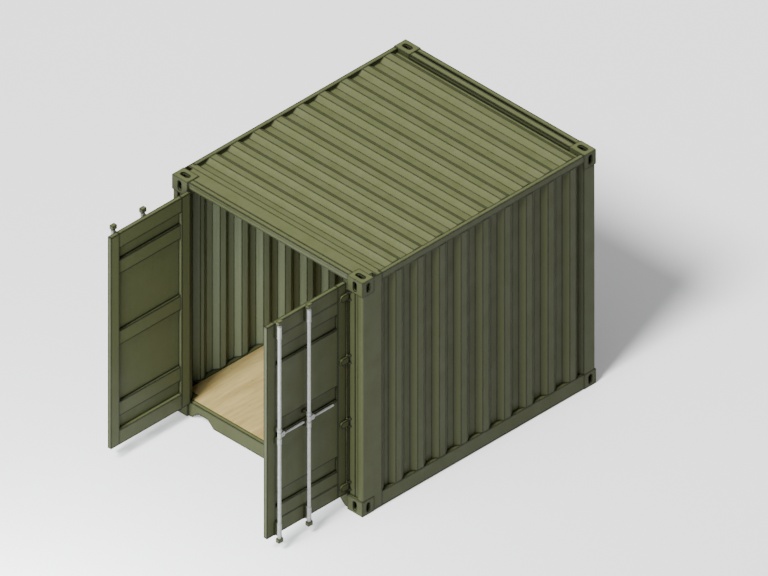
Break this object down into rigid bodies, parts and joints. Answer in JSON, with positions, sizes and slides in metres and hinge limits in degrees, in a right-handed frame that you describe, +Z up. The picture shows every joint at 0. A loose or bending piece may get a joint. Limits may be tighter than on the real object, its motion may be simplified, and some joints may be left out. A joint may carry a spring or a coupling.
{
  "type": "shipping container",
  "caption": "Short corrugated steel freight container with hinged end doors, locking bars and a plywood floor, shown open.",
  "frame": {"origin": "centre of the closed box's footprint, on the ground the bottom castings stand on", "axes": "+Z up; +X to the right of someone who looks in at the doors towards the blind end, along the width; +Y towards the blind end, so the doors are at -Y"},
  "size_m": [2.438, 4.011, 2.591],
  "materials": {
    "painted_steel": "satin olive paint",
    "wall_paint": "satin olive paint",
    "roof_paint": "satin olive paint, weathered",
    "casting_paint": "olive paint on rough cast steel",
    "underside_paint": "matt underbody coating",
    "door_paint": "satin olive paint",
    "fittings_paint": "olive paint on forgings",
    "galvanised_steel": "dull zinc coating",
    "galvanised_fittings": "dull zinc coating on forgings",
    "plywood": "sealed plywood with fine wear"
  },
  "bodies": {
    "container": {"bottom_corner_castings": "casting_paint", "top_corner_castings": "casting_paint", "door_post_right": "painted_steel", "door_post_left": "painted_steel", "door_jambs": "painted_steel", "rear_post_right": "painted_steel", "rear_post_left": "painted_steel", "door_header": "painted_steel", "door_sill": "painted_steel", "rear_top_rail": "painted_steel", "rear_bottom_rail": "painted_steel", "top_rail_right": "painted_steel", "top_rail_left": "painted_steel", "bottom_rail_right": "painted_steel", "bottom_rail_left": "painted_steel", "side_wall_right": "wall_paint", "side_wall_left": "wall_paint", "rear_wall": "wall_paint", "roof_sheet": "roof_paint", "roof_header_plate": "roof_paint", "floor_boards": "plywood", "crossmembers": "underside_paint", "hinge_lugs": "painted_steel"},
    "door_right": {"door_right_stiles": "door_paint", "door_right_rails": "door_paint", "door_right_panel": "door_paint", "door_right_hinge_blades": "door_paint", "door_right_bar_bearings": "galvanised_fittings"},
    "door_right_centre_bar": {"door_right_centre_lock_bar": "galvanised_steel", "door_right_centre_bar_fittings": "galvanised_fittings"},
    "door_right_centre_grip": {"door_right_centre_handle": "galvanised_fittings"},
    "door_right_hinge_bar": {"door_right_hinge_lock_bar": "galvanised_steel", "door_right_hinge_bar_fittings": "galvanised_fittings"},
    "door_right_hinge_grip": {"door_right_hinge_handle": "galvanised_fittings"},
    "door_left": {"door_left_stiles": "door_paint", "door_left_rails": "door_paint", "door_left_panel": "door_paint", "door_left_hinge_blades": "door_paint", "door_left_bar_bearings": "galvanised_fittings"},
    "door_left_centre_bar": {"door_left_centre_lock_bar": "galvanised_steel", "door_left_centre_bar_fittings": "galvanised_fittings"},
    "door_left_centre_grip": {"door_left_centre_handle": "galvanised_fittings"},
    "door_left_hinge_bar": {"door_left_hinge_lock_bar": "galvanised_steel", "door_left_hinge_bar_fittings": "galvanised_fittings"},
    "door_left_hinge_grip": {"door_left_hinge_handle": "galvanised_fittings"}
  },
  "joints": [
    {"name": "door_right_swing", "type": "hinge", "parent": "container", "child": "door_right", "pos_m": [1.0305, -1.489, 1.3], "axis": [0, 0, 1], "range_deg": [-90, 90]},
    {"name": "door_right_centre_bar_turn", "type": "hinge", "parent": "door_right", "child": "door_right_centre_bar", "pos_m": [1.0635, -2.3995, 1.3], "axis": [0, 0, 1], "range_deg": [-90, 0]},
    {"name": "door_right_centre_handle_lift", "type": "hinge", "parent": "door_right_centre_bar", "child": "door_right_centre_grip", "pos_m": [1.0635, -2.3575, 1.28], "axis": [1, 0, 0], "range_deg": [0, 30]},
    {"name": "door_right_hinge_bar_turn", "type": "hinge", "parent": "door_right", "child": "door_right_hinge_bar", "pos_m": [1.0635, -2.0215, 1.3], "axis": [0, 0, 1], "range_deg": [-90, 0]},
    {"name": "door_right_hinge_handle_lift", "type": "hinge", "parent": "door_right_hinge_bar", "child": "door_right_hinge_grip", "pos_m": [1.0635, -1.9795, 1.28], "axis": [1, 0, 0], "range_deg": [0, 30]},
    {"name": "door_left_swing", "type": "hinge", "parent": "container", "child": "door_left", "pos_m": [-1.0305, -1.489, 1.3], "axis": [0, 0, -1], "range_deg": [-90, 90]},
    {"name": "door_left_centre_bar_turn", "type": "hinge", "parent": "door_left", "child": "door_left_centre_bar", "pos_m": [-1.0635, -2.3995, 1.3], "axis": [0, 0, -1], "range_deg": [-90, 0]},
    {"name": "door_left_centre_handle_lift", "type": "hinge", "parent": "door_left_centre_bar", "child": "door_left_centre_grip", "pos_m": [-1.0635, -2.3575, 1.28], "axis": [1, 0, 0], "range_deg": [0, 30]},
    {"name": "door_left_hinge_bar_turn", "type": "hinge", "parent": "door_left", "child": "door_left_hinge_bar", "pos_m": [-1.0635, -2.0215, 1.3], "axis": [0, 0, -1], "range_deg": [-90, 0]},
    {"name": "door_left_hinge_handle_lift", "type": "hinge", "parent": "door_left_hinge_bar", "child": "door_left_hinge_grip", "pos_m": [-1.0635, -1.9795, 1.28], "axis": [1, 0, 0], "range_deg": [0, 30]}
  ]
}
